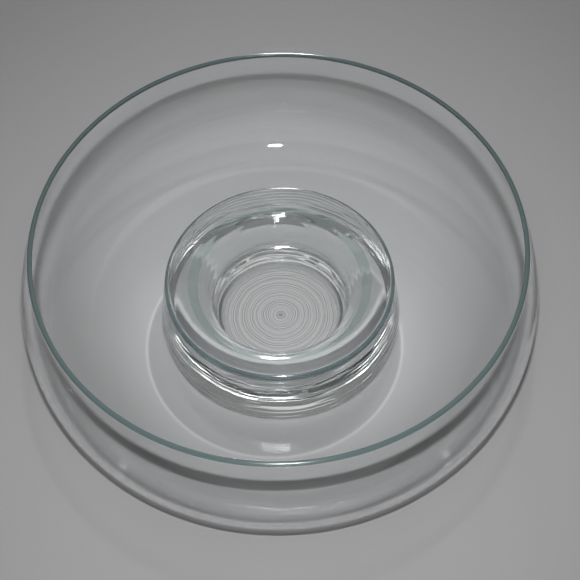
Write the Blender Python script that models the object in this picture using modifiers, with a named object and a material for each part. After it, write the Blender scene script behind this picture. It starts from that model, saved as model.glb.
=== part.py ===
"""A round glass dish with a heavy glass bowl standing loose in its middle.

Metres, +Z up. The origin is the middle of the dish's foot, on the table.
Both vessels are turned shapes about the Z axis.
"""

import math

import bpy

# Outer dish: a thin blown wall that bulges out below the rim and rounds under to a flat foot.
DISH_HEIGHT = 0.0910
RIM_RADIUS = 0.1400  # to the middle of the wall
WALL = 0.0029
BELLY_RADIUS = 0.1519  # widest outer radius
BELLY_HEIGHT = 0.0420  # height of the widest circle
FOOT_RADIUS = 0.1155  # edge of the flat underside

# Centre bowl: thick glass with a broad lip that slopes inwards and rounds over into a deep well.
RESTING_GAP = 0.0003
BOWL_TOP = 0.0497
LIP_OUTER_RADIUS = 0.0682
LIP_EDGE = 0.0028  # rounding of the lip's outer edge
LIP_INNER_RADIUS = 0.0546  # where the sloping lip starts to round over
LIP_DROP = 0.0039  # how far the lip falls from its outer edge to there
SHOULDER_ROUNDING = 0.0210
WELL_FOOT_RADIUS = 0.0392  # the well's wall just above the rounding at its floor
WELL_FLOOR_ROUNDING = 0.0052
BOWL_FLOOR_HEIGHT = 0.0081
BOWL_WAIST_RADIUS = 0.0724  # outer radius above the foot's rounding
BOWL_WAIST_HEIGHT = 0.0190
BOWL_FOOT_ROUNDING = 0.0070

STEPS_ROUND = 72
MERGE_DISTANCE = 0.00001


def angles(start_degrees, end_degrees, count):
    """Evenly spaced angles in radians, both ends included."""
    step = (end_degrees - start_degrees) / count
    return [math.radians(start_degrees + step * i) for i in range(count + 1)]


def arc(centre_r, centre_z, radius, start_degrees, end_degrees, count):
    """Points of a circular arc in the profile's plane."""
    return [
        (centre_r + radius * math.cos(a), centre_z + radius * math.sin(a))
        for a in angles(start_degrees, end_degrees, count)
    ]


def dish_side(inset):
    """One face of the dish's wall, from the rim down to the flat bottom."""
    top = DISH_HEIGHT - WALL / 2
    rim = RIM_RADIUS + WALL / 2 - inset
    belly = BELLY_RADIUS - inset
    upper = [
        (
            rim + (belly - rim) * math.sin(a),
            top - (top - BELLY_HEIGHT) * a / math.radians(90),
        )
        for a in angles(0, 90, 7)
    ]
    lower = [
        (
            FOOT_RADIUS + (belly - FOOT_RADIUS) * math.cos(a),
            BELLY_HEIGHT - (BELLY_HEIGHT - inset) * math.sin(a),
        )
        for a in angles(0, 90, 10)
    ]
    return upper + lower[1:]


def dish_profile():
    """From the middle of the floor, up the inside, over the rim and down the outside."""
    inside = dish_side(WALL)[::-1]
    rim = arc(RIM_RADIUS, DISH_HEIGHT - WALL / 2, WALL / 2, 180, 0, 6)[1:-1]
    return [(0, WALL)] + inside + rim + dish_side(0) + [(0, 0)]


def well():
    """The centre bowl's inside, from the edge of its floor up to the outer end of the sloping lip."""
    slope = math.degrees(math.atan2(LIP_DROP, LIP_OUTER_RADIUS - LIP_EDGE - LIP_INNER_RADIUS))
    shoulder_r = LIP_INNER_RADIUS + SHOULDER_ROUNDING * math.sin(math.radians(slope))
    shoulder_z = BOWL_TOP - LIP_DROP - SHOULDER_ROUNDING * math.cos(math.radians(slope))
    floor_r = WELL_FOOT_RADIUS - WELL_FLOOR_ROUNDING
    floor_z = BOWL_FLOOR_HEIGHT + WELL_FLOOR_ROUNDING
    floor_corner = arc(floor_r, floor_z, WELL_FLOOR_ROUNDING, -90, 0, 6)
    shoulder = arc(shoulder_r, shoulder_z, SHOULDER_ROUNDING, 180, 90 + slope, 9)
    return floor_corner + shoulder


def bowl_profile():
    """From the middle of the floor, up the well, over the lip and down the outside."""
    base = WALL + RESTING_GAP
    lip_edge = arc(LIP_OUTER_RADIUS - LIP_EDGE, BOWL_TOP - LIP_EDGE, LIP_EDGE, 90, 0, 5)
    foot_centre = BOWL_WAIST_RADIUS - BOWL_FOOT_ROUNDING
    foot = arc(foot_centre, base + BOWL_FOOT_ROUNDING, BOWL_FOOT_ROUNDING, 0, -90, 6)
    waist = [(BOWL_WAIST_RADIUS, BOWL_WAIST_HEIGHT)]
    return [(0, BOWL_FLOOR_HEIGHT)] + well() + lip_edge + waist + foot + [(0, base)]


def clear_glass(name, tint):
    """A see-through glass with a slight tint."""
    material = bpy.data.materials.new(name)
    material.use_nodes = True
    shader = material.node_tree.nodes["Principled BSDF"]
    shader.inputs["Base Color"].default_value = tint
    shader.inputs["Roughness"].default_value = 0.02
    shader.inputs["Metallic"].default_value = 0.0
    shader.inputs["IOR"].default_value = 1.5
    shader.inputs["Transmission Weight"].default_value = 1.0
    return material


def turned(name, profile, material, collection):
    """A solid of revolution about Z, made from its profile in the XZ plane."""
    mesh = bpy.data.meshes.new(name)
    points = [(r, 0, z) for r, z in profile]
    edges = [(i, i + 1) for i in range(len(points) - 1)]
    mesh.from_pydata(points, edges, [])
    mesh.materials.append(material)
    solid = bpy.data.objects.new(name, mesh)
    collection.objects.link(solid)
    screw = solid.modifiers.new("turn", "SCREW")
    screw.axis = "Z"
    screw.angle = math.radians(360)
    screw.steps = STEPS_ROUND
    screw.render_steps = STEPS_ROUND
    screw.use_merge_vertices = True
    screw.merge_threshold = MERGE_DISTANCE
    screw.use_smooth_shade = True
    return solid


def build():
    for old in list(bpy.data.objects):
        bpy.data.objects.remove(old)
    collection = bpy.data.collections.new("dish_with_centre_bowl")
    bpy.context.scene.collection.children.link(collection)
    dish_glass = clear_glass("dish_glass", (0.90, 0.96, 0.95, 1))
    bowl_glass = clear_glass("bowl_glass", (0.91, 0.95, 0.95, 1))
    turned("outer_dish", dish_profile(), dish_glass, collection)
    turned("centre_bowl", bowl_profile(), bowl_glass, collection)


build()
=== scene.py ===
"""The looks of a thin round glass dish with a heavy glass bowl standing loose in its middle.

Metres, +Z up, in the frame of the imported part. Both vessels are turned about the Z axis, so each is
made from one profile of (radius, height) points, much finer than the CAD solids that it replaces.
"""

import math

import bmesh
import bpy
from mathutils import Matrix, Vector, noise


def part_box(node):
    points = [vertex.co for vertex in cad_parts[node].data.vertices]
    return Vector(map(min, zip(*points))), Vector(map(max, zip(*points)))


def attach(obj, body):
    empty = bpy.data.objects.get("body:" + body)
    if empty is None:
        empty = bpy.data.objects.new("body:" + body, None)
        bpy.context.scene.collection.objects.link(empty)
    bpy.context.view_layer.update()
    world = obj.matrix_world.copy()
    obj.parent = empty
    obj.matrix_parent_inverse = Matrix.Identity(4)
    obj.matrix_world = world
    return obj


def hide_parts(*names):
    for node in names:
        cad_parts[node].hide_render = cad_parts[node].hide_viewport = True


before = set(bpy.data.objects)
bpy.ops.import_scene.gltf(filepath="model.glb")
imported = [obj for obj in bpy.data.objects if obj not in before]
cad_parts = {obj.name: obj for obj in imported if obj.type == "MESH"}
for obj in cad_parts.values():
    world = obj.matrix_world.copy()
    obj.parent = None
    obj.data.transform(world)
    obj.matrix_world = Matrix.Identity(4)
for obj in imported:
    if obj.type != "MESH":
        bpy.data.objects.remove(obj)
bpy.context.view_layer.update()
dish_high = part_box("outer_dish")[1]
bowl_low, bowl_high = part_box("centre_bowl")

# Outer dish, from the frame and from its design.
DISH_HEIGHT = dish_high.z
BELLY_RADIUS = dish_high.x
BELLY_HEIGHT = 0.0420
RIM_RADIUS = 0.1400  # to the middle of the wall
WALL = 0.0029
FOOT_RADIUS = 0.1155
RIM_INNER_ROUNDING = 0.0005  # the rim is rounded off mostly on its outer side
DISH_TINT = (0.985, 0.995, 0.993, 1)
DISH_SHADE = ((0.55, 0.97), (0.97, 0.10))  # see let_lamps_through
NECK_SHADE = ((0.0, 0.08), (1.0, 0.03))
RIM_SHADE = ((0.0, 0.05), (1.0, 0.02))
NECK = 0.0045  # the wall this far under the rim throws a darker shadow
RIM_BAND = 0.0001  # the green polish runs this far down both sides of the wall

# Centre bowl.
BOWL_BASE = bowl_low.z
BOWL_TOP = bowl_high.z
WAIST_RADIUS = bowl_high.x
WAIST_HEIGHT = 0.0190
FOOT_ROUNDING = 0.0070
LIP_OUTER_RADIUS = 0.0682
LIP_EDGE = 0.0028
LIP_INNER_RADIUS = 0.0546
LIP_DROP = 0.0039
LIP_BAND = 0.0030  # the green of the lip runs this far down into the well
BOWL_TINT = (0.91, 0.935, 0.935, 1)
BOWL_SHADE = ((0.30, 0.95), (0.80, 0.25))
EDGE_SHADE = ((0.0, 1.7), (1.0, 1.7))  # over 1, as a stand-in for the light that the edge gathers
# The turning marks are real; their light and dark rings in the floor's colour are a painted highlight.
MARKED_RADIUS = 0.0345  # the turning marks cover the floor up to here
SWIRL_RADIUS = 0.0045  # the painted rings are darker inside this
MARK_SPACING = 0.0007  # about how far apart the painted rings of highlight lie
SHOULDER_ROUNDING = 0.0210
WELL_FOOT_RADIUS = 0.0392
WELL_FLOOR_ROUNDING = 0.0052
WELL_FLOOR_HEIGHT = 0.0081

# Traces of hand work.
SEGMENTS = 256
RING_SPACING = 0.0018  # turning rings in the well's floor
RING_DEPTH = 0.00004
RIDGES = [(0.0047, 0.00008), (0.0017, 0.00002)]  # spacing and depth of level ridges round the outside
WELL_RIDGE_SPACING = 0.0060  # level ridges round the well's wall
WELL_RIDGE_DEPTH = 0.00003
WAVE_SIZE = 0.011  # slow waves all over the bowl
WAVE_DEPTH = 0.00009

# Light: an even sky with soft patches, each (strength, (azimuth, elevation), full to, gone by), in degrees.
SKY_BASE = 0.13
SKY = [
    (0.10, (0, 90), 15, 75),
    (0.5, (8, 73), 8, 16),
    (2.5, (1, 6), 2, 8),
]

# Lamps: name, place in rim radii from the rim's middle, width, height, power, and whether each one lights
# matt surfaces and is mirrored in glass.
LAMPS = [
    ("flash", (0.043, -2.557, 4.583), 0.030, 0.010, 3.9, True, False),
    ("flash_head", (0.043, -2.557, 4.583), 0.045, 0.026, 3.6, False, True),
    ("ceiling", (0.40, 2.80, 9.50), 0.05, 0.05, 1.1, True, False),
    ("window", (0.25, 10.4, 1.15), 0.16, 0.20, 12.0, False, True),
    ("shelf_light", (0, -13.1, 5.6), 0.40, 0.04, 3.0, False, True),
]

# Table: half its width, where its painted pool of light is lightest, and (distance from there, grey). The
# paint is lighter under the dish to make up for the light that the glass holds back, and darker far away as
# painted shade where the light falls off.
TABLE_HALF = 6.0
TABLE_LIGHT_POOL_MIDDLE = (0, 0.042, 0)
TABLE_PAINTED_LIGHT = [
    (0, 0.80),
    (0.090, 0.74),
    (0.115, 0.60),
    (0.132, 0.48),
    (0.140, 0.42),
    (0.160, 0.40),
    (0.180, 0.41),
    (0.30, 0.33),
    (0.70, 0.15),
    (1.4, 0.05),
]

# Painted stand-in for a thin ring of focused light on the table. Its middle and its size are given.
# Inside the ring the table is painted slightly darker, a painted shadow. Each stop is (distance from the
# middle, how much the table's grey is multiplied by).
GATHERED_MIDDLE = (-0.0043, -0.0152, 0)
GATHERED_LIGHT = [
    (0, 0.90),
    (0.0760, 0.88),
    (0.0773, 0.95),
    (0.0780, 1.34),
    (0.0787, 1.34),
    (0.0800, 1.10),
    (0.100, 1.0),
]

# Camera: the height and the distance are in rim radii, above and in front of the rim's middle.
CAMERA_RIGHT, CAMERA_BACK, CAMERA_UP = 0.043, 3.035, 4.272
CAMERA_DOWN = math.radians(56.96)
CAMERA_ROLL = -0.0244
CAMERA_LENS = 80.69
SENSOR_WIDTH = 36.0


def spread(start, end, count):
    """count + 1 evenly spaced numbers from start to end."""
    return [start + (end - start) * i / count for i in range(count + 1)]


def arc(centre_r, centre_z, radius, start_degrees, end_degrees, count):
    """Points of a circular arc in the profile's plane."""
    turns = [math.radians(a) for a in spread(start_degrees, end_degrees, count)]
    return [(centre_r + radius * math.cos(a), centre_z + radius * math.sin(a)) for a in turns]


def straight(start, end, step):
    """Points from start to end, both included, about step apart."""
    count = max(1, round(math.dist(start, end) / step))
    return [
        (start[0] + (end[0] - start[0]) * t, start[1] + (end[1] - start[1]) * t)
        for t in spread(0, 1, count)
    ]


def dish_side(inset):
    """One face of the dish's wall, from just under the rim down to the flat bottom."""
    top = DISH_HEIGHT - WALL / 2
    rim = RIM_RADIUS + WALL / 2 - inset
    belly = BELLY_RADIUS - inset
    quarter = math.radians(90)
    upper = [
        (rim + (belly - rim) * math.sin(a), top - (top - BELLY_HEIGHT) * a / quarter)
        for a in spread(0, quarter, 40)
    ]
    lower = [
        (
            FOOT_RADIUS + (belly - FOOT_RADIUS) * math.cos(a),
            BELLY_HEIGHT - (BELLY_HEIGHT - inset) * math.sin(a),
        )
        for a in spread(0, quarter, 48)
    ]
    return upper + lower[1:]


def dish_profile():
    """From the middle of the floor, up the inside, over the rim and down the outside."""
    inside = dish_side(WALL)[::-1]
    inner, outer = RIM_INNER_ROUNDING, WALL - RIM_INNER_ROUNDING
    rim_start = RIM_RADIUS - WALL / 2
    rim_drop = WALL / 2
    rim = [
        (rim_start + inner + inner * math.cos(a), DISH_HEIGHT - rim_drop + rim_drop * math.sin(a))
        for a in spread(math.radians(180), math.radians(90), 6)
    ][1:]
    rim += [
        (rim_start + inner + outer * math.cos(a), DISH_HEIGHT - rim_drop + rim_drop * math.sin(a))
        for a in spread(math.radians(90), 0, 10)
    ][1:-1]
    floor = straight((0, WALL), inside[0], 0.004)[:-1]
    underside = straight((FOOT_RADIUS, 0), (0, 0), 0.004)[1:]
    return floor + inside + rim + dish_side(0) + underside


def bowl_profile():
    """From the middle of the floor, up the well, over the lip and down the outside."""
    slope = math.degrees(math.atan2(LIP_DROP, LIP_OUTER_RADIUS - LIP_EDGE - LIP_INNER_RADIUS))
    shoulder_r = LIP_INNER_RADIUS + SHOULDER_ROUNDING * math.sin(math.radians(slope))
    shoulder_z = BOWL_TOP - LIP_DROP - SHOULDER_ROUNDING * math.cos(math.radians(slope))
    floor_r = WELL_FOOT_RADIUS - WELL_FLOOR_ROUNDING
    corner_z = WELL_FLOOR_HEIGHT + WELL_FLOOR_ROUNDING
    corner = arc(floor_r, corner_z, WELL_FLOOR_ROUNDING, -90, 0, 18)
    shoulder = arc(shoulder_r, shoulder_z, SHOULDER_ROUNDING, 180, 90 + slope, 40)
    edge = arc(LIP_OUTER_RADIUS - LIP_EDGE, BOWL_TOP - LIP_EDGE, LIP_EDGE, 90, 0, 14)
    foot_r, foot_z = WAIST_RADIUS - FOOT_ROUNDING, BOWL_BASE + FOOT_ROUNDING
    foot = arc(foot_r, foot_z, FOOT_ROUNDING, 0, -90, 18)
    floor = straight((0, WELL_FLOOR_HEIGHT), corner[0], 0.0003)[:-1]
    wall = straight(corner[-1], shoulder[0], 0.0006)[1:-1]
    lip = straight(shoulder[-1], edge[0], 0.0006)[1:-1]
    side = straight(edge[-1], (WAIST_RADIUS, WAIST_HEIGHT), 0.0005)[1:]
    waist = straight((WAIST_RADIUS, WAIST_HEIGHT), foot[0], 0.0005)[1:-1]
    base = straight(foot[-1], (0, BOWL_BASE), 0.003)[1:]
    return floor + corner + wall + shoulder + lip + edge + side + waist + foot + base


def turned(name, profile, shape):
    """A closed mesh of revolution. shape(r, z, angle) moves a point a little and returns it."""
    mesh = bmesh.new()
    rings = []
    for r, z in profile:
        if r == 0:
            rings.append([mesh.verts.new(shape(0, z, 0))])
            continue
        angles = spread(0, 2 * math.pi, SEGMENTS)[:-1]
        rings.append([mesh.verts.new(shape(r, z, a)) for a in angles])
    for lower, upper in zip(rings, rings[1:]):
        for i in range(SEGMENTS):
            j = (i + 1) % SEGMENTS
            if len(lower) == 1:
                mesh.faces.new((lower[0], upper[i], upper[j]))
            elif len(upper) == 1:
                mesh.faces.new((lower[i], upper[0], lower[j]))
            else:
                mesh.faces.new((lower[i], upper[i], upper[j], lower[j]))
    bmesh.ops.recalc_face_normals(mesh, faces=mesh.faces)
    if mesh.calc_volume(signed=True) < 0:
        bmesh.ops.reverse_faces(mesh, faces=mesh.faces)
    for face in mesh.faces:
        face.smooth = True
    data = bpy.data.meshes.new(name)
    mesh.to_mesh(data)
    mesh.free()
    piece = bpy.data.objects.new(name, data)
    bpy.context.scene.collection.objects.link(piece)
    return piece


def at(r, z, angle):
    return Vector((r * math.cos(angle), r * math.sin(angle), z))


def dish_shape(r, z, angle):
    """The blown wall is slightly out of round; its foot and its rim are true."""
    fade = math.sin(math.pi * min(1, max(0, z / DISH_HEIGHT)))
    wave = noise.noise(at(22 * r, 60 * z, angle)) * 0.00012
    return at(r + wave * fade, z, angle)


def bowl_shape(r, z, angle):
    """Turning rings in the well's floor, and level ridges and slow waves on both walls."""
    place = at(r, z, angle)
    drift = 0.6 * noise.noise(place * 55)
    if r < WELL_FOOT_RADIUS - WELL_FLOOR_ROUNDING and z > BOWL_BASE + 0.001:
        fade = min(1, (WELL_FOOT_RADIUS - WELL_FLOOR_ROUNDING - r) / 0.003)
        ring = math.sin(2 * math.pi * r / RING_SPACING + 2.0 * drift)
        return place + Vector((0, 0, RING_DEPTH * fade * ring))
    if not BOWL_BASE + 0.004 < z < BOWL_TOP - LIP_EDGE:
        return place
    fade = min(1, (z - BOWL_BASE - 0.004) / 0.003, (BOWL_TOP - LIP_EDGE - z) / 0.003)
    push = WAVE_DEPTH * (noise.noise(place / WAVE_SIZE) - 0.5)
    if r > LIP_OUTER_RADIUS - LIP_EDGE:
        for spacing, depth in RIDGES:
            push += depth * (math.sin(2 * math.pi * z / spacing + 4 * drift) - 1)
        return at(r + push * fade, z, angle)
    push += WELL_RIDGE_DEPTH * math.sin(2 * math.pi * (r + z) / WELL_RIDGE_SPACING + 4 * drift)
    return at(r + push * fade, z - push * fade, angle)


def glass(name, tint, roughness, ripple_scale, ripple_strength, shade):
    """Clear glass with faint ripples and fine smears on its surface. For shade, see let_lamps_through."""
    material = bpy.data.materials.new(name)
    material.use_nodes = True
    nodes, links = material.node_tree.nodes, material.node_tree.links
    shader = nodes["Principled BSDF"]
    shader.inputs["Base Color"].default_value = tint
    shader.inputs["Transmission Weight"].default_value = 1.0
    shader.inputs["IOR"].default_value = 1.5
    place = nodes.new("ShaderNodeTexCoord")
    smear = nodes.new("ShaderNodeTexNoise")
    smear.inputs["Scale"].default_value = 45
    smear.inputs["Detail"].default_value = 6
    links.new(place.outputs["Object"], smear.inputs["Vector"])
    finish = nodes.new("ShaderNodeMapRange")
    finish.inputs["From Min"].default_value = 0.55
    finish.inputs["From Max"].default_value = 0.8
    finish.inputs["To Min"].default_value = roughness
    finish.inputs["To Max"].default_value = roughness + 0.03
    links.new(smear.outputs["Fac"], finish.inputs["Value"])
    links.new(finish.outputs["Result"], shader.inputs["Roughness"])
    ripple = nodes.new("ShaderNodeTexNoise")
    ripple.inputs["Scale"].default_value = ripple_scale
    ripple.inputs["Detail"].default_value = 2
    links.new(place.outputs["Object"], ripple.inputs["Vector"])
    bump = nodes.new("ShaderNodeBump")
    bump.inputs["Strength"].default_value = ripple_strength
    bump.inputs["Distance"].default_value = 0.001
    links.new(ripple.outputs["Fac"], bump.inputs["Height"])
    links.new(bump.outputs["Normal"], shader.inputs["Normal"])
    let_lamps_through(nodes, links, shader, shade)
    return material


def let_lamps_through(nodes, links, shader, shade):
    """Lamps shine through the glass, almost undimmed where they meet it squarely.

    shade gives two (slant, share passed) points. Slant is 0 where a ray meets the glass squarely and 1
    where it grazes it.
    """
    slant = nodes.new("ShaderNodeLayerWeight")
    slant.inputs["Blend"].default_value = 0.5
    dimming = nodes.new("ShaderNodeValToRGB")
    for stop, (position, passed_share) in zip(dimming.color_ramp.elements, shade):
        stop.position = position
        stop.color = (passed_share, passed_share, passed_share, 1)
    links.new(slant.outputs["Facing"], dimming.inputs["Fac"])
    passed = nodes.new("ShaderNodeBsdfTransparent")
    links.new(dimming.outputs["Color"], passed.inputs["Color"])
    path = nodes.new("ShaderNodeLightPath")
    either = nodes.new("ShaderNodeMixShader")
    links.new(path.outputs["Is Shadow Ray"], either.inputs["Fac"])
    links.new(shader.outputs["BSDF"], either.inputs[1])
    links.new(passed.outputs["BSDF"], either.inputs[2])
    links.new(either.outputs["Shader"], nodes["Material Output"].inputs["Surface"])


def edge_glass(name, colour, clear_share, roughness, shade):
    """The green of a glass edge, which gathers light from the whole wall behind it."""
    material = glass(name, colour, roughness, 60, 0.03, shade)
    material.node_tree.nodes["Principled BSDF"].inputs["Transmission Weight"].default_value = clear_share
    return material


def turned_glass(name):
    """The well's floor: clear glass whose fine turning marks catch the light as rings, painted into its
    colour as light and dark rings, a painted highlight.
    """
    material = glass(name, BOWL_TINT, 0.06, 40, 0.03, BOWL_SHADE)
    nodes, links = material.node_tree.nodes, material.node_tree.links
    shader = nodes["Principled BSDF"]
    shader.inputs["Transmission Weight"].default_value = 0.62
    place = nodes.new("ShaderNodeTexCoord")
    flat = nodes.new("ShaderNodeVectorMath")
    flat.operation = "MULTIPLY"
    flat.inputs[1].default_value = (1, 1, 0)
    links.new(place.outputs["Object"], flat.inputs[0])
    radius = nodes.new("ShaderNodeVectorMath")
    radius.operation = "LENGTH"
    links.new(flat.outputs["Vector"], radius.inputs[0])
    sway = nodes.new("ShaderNodeTexNoise")
    sway.inputs["Scale"].default_value = 55
    links.new(place.outputs["Object"], sway.inputs["Vector"])
    swayed = nodes.new("ShaderNodeMath")
    swayed.operation = "MULTIPLY_ADD"
    swayed.inputs[1].default_value = 0.0024
    links.new(sway.outputs["Fac"], swayed.inputs[0])
    links.new(radius.outputs["Value"], swayed.inputs[2])
    ring = nodes.new("ShaderNodeTexNoise")
    ring.noise_dimensions = "1D"
    ring.inputs["Scale"].default_value = 1 / MARK_SPACING
    ring.inputs["Detail"].default_value = 3
    links.new(swayed.outputs["Value"], ring.inputs["W"])
    # Painted highlight: the rings' light and dark tone stands in for the light that the turning marks
    # catch.
    tone = nodes.new("ShaderNodeValToRGB")
    tone.color_ramp.elements[0].position = 0.40
    tone.color_ramp.elements[0].color = (0.42, 0.44, 0.44, 1)
    tone.color_ramp.elements[1].position = 0.57
    tone.color_ramp.elements[1].color = (1, 1, 1, 1)
    links.new(ring.outputs["Fac"], tone.inputs["Fac"])
    swirl = nodes.new("ShaderNodeMapRange")
    swirl.inputs["From Max"].default_value = SWIRL_RADIUS
    swirl.inputs["To Min"].default_value = 0.45
    links.new(swayed.outputs["Value"], swirl.inputs["Value"])
    darkened = nodes.new("ShaderNodeVectorMath")
    darkened.operation = "SCALE"
    links.new(tone.outputs["Color"], darkened.inputs[0])
    links.new(swirl.outputs["Result"], darkened.inputs["Scale"])
    links.new(darkened.outputs["Vector"], shader.inputs["Base Color"])
    return material


def paint(piece, main, *accents):
    """Gives a piece its main material, and each accent to the faces whose middles pass its test."""
    piece.data.materials.append(main)
    for accent, is_accent in accents:
        piece.data.materials.append(accent)
    for face in piece.data.polygons:
        radius = math.hypot(face.center.x, face.center.y)
        for index, (accent, is_accent) in enumerate(accents):
            if is_accent(radius, face.center.z):
                face.material_index = index + 1


def add_dish():
    piece = turned("dish_shell", dish_profile(), dish_shape)
    main = glass("dish_clear", DISH_TINT, 0.0, 30, 0.02, DISH_SHADE)
    neck = glass("dish_neck", DISH_TINT, 0.0, 30, 0.02, NECK_SHADE)
    rim = edge_glass("dish_rim_polish", (0.17, 0.24, 0.24, 1), 0.4, 0.16, RIM_SHADE)
    rim_start = DISH_HEIGHT - WALL / 2 - RIM_BAND
    neck_start = rim_start - NECK
    paint(
        piece,
        main,
        (neck, lambda radius, height: neck_start < height <= rim_start),
        (rim, lambda radius, height: height > rim_start),
    )
    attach(piece, "dish")
    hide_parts("outer_dish")


def add_bowl():
    piece = turned("bowl_solid", bowl_profile(), bowl_shape)
    main = glass("bowl_clear", BOWL_TINT, 0.0, 40, 0.03, BOWL_SHADE)
    lip = edge_glass("bowl_lip_polish", (0.54, 0.65, 0.64, 1), 0.96, 0.06, BOWL_SHADE)
    edge = edge_glass("bowl_edge_polish", (0.14, 0.20, 0.21, 1), 0.60, 0.14, EDGE_SHADE)
    # The floor's turning marks, with a painted highlight in their rings.
    marks = turned_glass("bowl_floor_marks_and_highlights")
    band_end = BOWL_TOP - LIP_DROP - LIP_BAND
    edge_start = LIP_OUTER_RADIUS - 0.8 * LIP_EDGE
    paint(
        piece,
        main,
        (lip, lambda radius, height: radius < LIP_INNER_RADIUS and height > band_end),
        (edge, lambda radius, height: radius > edge_start and height > BOWL_TOP - LIP_EDGE),
        (marks, lambda radius, height: radius < MARKED_RADIUS and abs(height - WELL_FLOOR_HEIGHT) < 0.001),
    )
    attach(piece, "insert")
    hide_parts("centre_bowl")


def rings(nodes, links, position, middle, stops):
    """Greys that change with the distance from a point on the table."""
    distance = nodes.new("ShaderNodeVectorMath")
    distance.operation = "DISTANCE"
    distance.inputs[1].default_value = middle
    links.new(position, distance.inputs[0])
    reach = nodes.new("ShaderNodeMapRange")
    reach.inputs["From Max"].default_value = stops[-1][0]
    links.new(distance.outputs["Value"], reach.inputs["Value"])
    tone = nodes.new("ShaderNodeValToRGB")
    tone.color_ramp.elements.remove(tone.color_ramp.elements[1])
    for index, (radius, grey) in enumerate(stops):
        stop = tone.color_ramp.elements[0] if index == 0 else tone.color_ramp.elements.new(1)
        stop.position = radius / stops[-1][0]
        stop.color = (grey, grey, grey, 1)
    links.new(reach.outputs["Result"], tone.inputs["Fac"])
    return tone.outputs["Color"]


def table_grey_and_painted_light():
    """Matt grey with a fine grain, and a painted pool of light: lighter under the dish and darker far away
    from it.
    """
    material = bpy.data.materials.new("table_grey_and_painted_light")
    material.use_nodes = True
    nodes, links = material.node_tree.nodes, material.node_tree.links
    shader = nodes["Principled BSDF"]
    shader.inputs["Roughness"].default_value = 0.8
    place = nodes.new("ShaderNodeTexCoord")
    # Painted light: a pool of light under the dish that fades to painted shade far away, and a painted ring
    # of focused light.
    fade = rings(nodes, links, place.outputs["Object"], TABLE_LIGHT_POOL_MIDDLE, TABLE_PAINTED_LIGHT)
    gathered = rings(nodes, links, place.outputs["Object"], GATHERED_MIDDLE, GATHERED_LIGHT)
    tinted = nodes.new("ShaderNodeVectorMath")
    tinted.operation = "MULTIPLY"
    tinted.inputs[1].default_value = (1, 1, 1.02)
    links.new(fade, tinted.inputs[0])
    lit = nodes.new("ShaderNodeVectorMath")
    lit.operation = "MULTIPLY"
    links.new(tinted.outputs["Vector"], lit.inputs[0])
    links.new(gathered, lit.inputs[1])
    grain = nodes.new("ShaderNodeTexNoise")
    grain.inputs["Scale"].default_value = 900
    grain.inputs["Detail"].default_value = 3
    links.new(place.outputs["Object"], grain.inputs["Vector"])
    speckle = nodes.new("ShaderNodeMapRange")
    speckle.inputs["To Min"].default_value = 0.96
    speckle.inputs["To Max"].default_value = 1.04
    links.new(grain.outputs["Fac"], speckle.inputs["Value"])
    mixed = nodes.new("ShaderNodeVectorMath")
    mixed.operation = "SCALE"
    links.new(lit.outputs["Vector"], mixed.inputs[0])
    links.new(speckle.outputs["Result"], mixed.inputs["Scale"])
    links.new(mixed.outputs["Vector"], shader.inputs["Base Color"])
    return material


def add_floor():
    mesh = bpy.data.meshes.new("table_top")
    corners = [(x * TABLE_HALF, y * TABLE_HALF, -0.0002) for x, y in ((-1, -1), (1, -1), (1, 1), (-1, 1))]
    mesh.from_pydata(corners, [], [(0, 1, 2, 3)])
    mesh.materials.append(table_grey_and_painted_light())
    table = bpy.data.objects.new("table_top", mesh)
    bpy.context.scene.collection.objects.link(table)


def add_camera():
    camera = bpy.data.cameras.new("camera")
    camera.lens = CAMERA_LENS
    camera.sensor_width = SENSOR_WIDTH
    camera.clip_end = 50
    holder = bpy.data.objects.new("camera", camera)
    bpy.context.scene.collection.objects.link(holder)
    place = Vector((CAMERA_RIGHT, -CAMERA_BACK, CAMERA_UP)) * RIM_RADIUS
    place.z += DISH_HEIGHT
    aim = Matrix.Rotation(math.radians(90) - CAMERA_DOWN, 4, "X") @ Matrix.Rotation(CAMERA_ROLL, 4, "Z")
    holder.matrix_world = Matrix.Translation(place) @ aim
    bpy.context.scene.camera = holder


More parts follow.
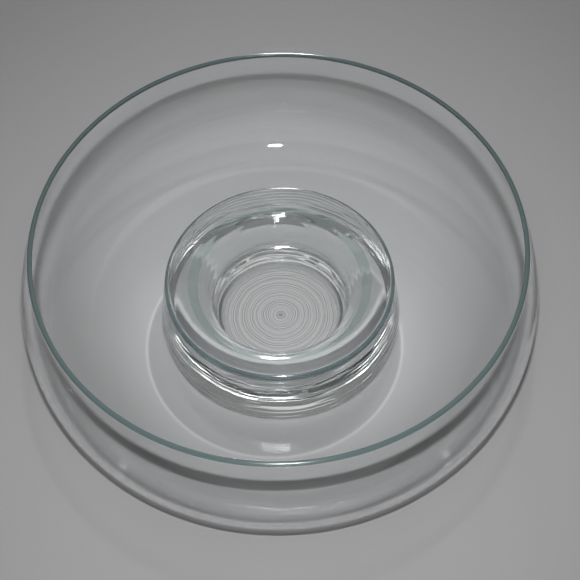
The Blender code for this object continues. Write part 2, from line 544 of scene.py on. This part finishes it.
def add_lamp(name, place, width, height, power, is_lighting, is_mirrored):
    """A rectangular lamp that faces the object."""
    lamp = bpy.data.lights.new(name, "AREA")
    lamp.shape = "RECTANGLE"
    lamp.size, lamp.size_y = width, height
    lamp.energy = power
    holder = bpy.data.objects.new(name, lamp)
    bpy.context.scene.collection.objects.link(holder)
    holder.location = Vector(place) * RIM_RADIUS + Vector((0, 0, DISH_HEIGHT))
    holder.rotation_euler = (-holder.location).to_track_quat("-Z", "Y").to_euler()
    holder.visible_diffuse = is_lighting
    holder.visible_glossy = is_mirrored
    holder.visible_transmission = is_mirrored


def world_patch(nodes, links, direction, centre, inner, outer):
    """1 inside a round patch of sky and 0 outside it. Its middle is (azimuth, elevation) in degrees."""
    a, e = math.radians(centre[0]), math.radians(centre[1])
    aim = nodes.new("ShaderNodeVectorMath")
    aim.operation = "DOT_PRODUCT"
    aim.inputs[1].default_value = (math.sin(a) * math.cos(e), math.cos(a) * math.cos(e), math.sin(e))
    links.new(direction, aim.inputs[0])
    fade = nodes.new("ShaderNodeMapRange")
    fade.interpolation_type = "SMOOTHSTEP"
    fade.inputs["From Min"].default_value = math.cos(math.radians(outer))
    fade.inputs["From Max"].default_value = math.cos(math.radians(inner))
    links.new(aim.outputs["Value"], fade.inputs["Value"])
    return fade.outputs["Result"]


def add_light():
    world = bpy.data.worlds.new("studio")
    world.use_nodes = True
    bpy.context.scene.world = world
    nodes, links = world.node_tree.nodes, world.node_tree.links
    sky = nodes["Background"]
    sky.inputs["Color"].default_value = (1, 1, 1, 1)
    direction = nodes.new("ShaderNodeTexCoord").outputs["Generated"]
    total = None
    for strength, centre, inner, outer in SKY:
        patch = world_patch(nodes, links, direction, centre, inner, outer)
        scaled = nodes.new("ShaderNodeMath")
        scaled.operation = "MULTIPLY_ADD"
        links.new(patch, scaled.inputs[0])
        scaled.inputs[1].default_value = strength
        scaled.inputs[2].default_value = SKY_BASE
        if total is not None:
            links.new(total, scaled.inputs[2])
        total = scaled.outputs["Value"]
    links.new(total, sky.inputs["Strength"])
    for lamp in LAMPS:
        add_lamp(*lamp)


add_camera()
add_dish()
add_bowl()
add_floor()
add_light()

scene = bpy.context.scene
scene.view_settings.view_transform = "Standard"
scene.cycles.use_denoising = True
scene.cycles.max_bounces = 24
scene.cycles.transmission_bounces = 24
scene.cycles.glossy_bounces = 12
scene.cycles.caustics_refractive = False
scene.cycles.caustics_reflective = False
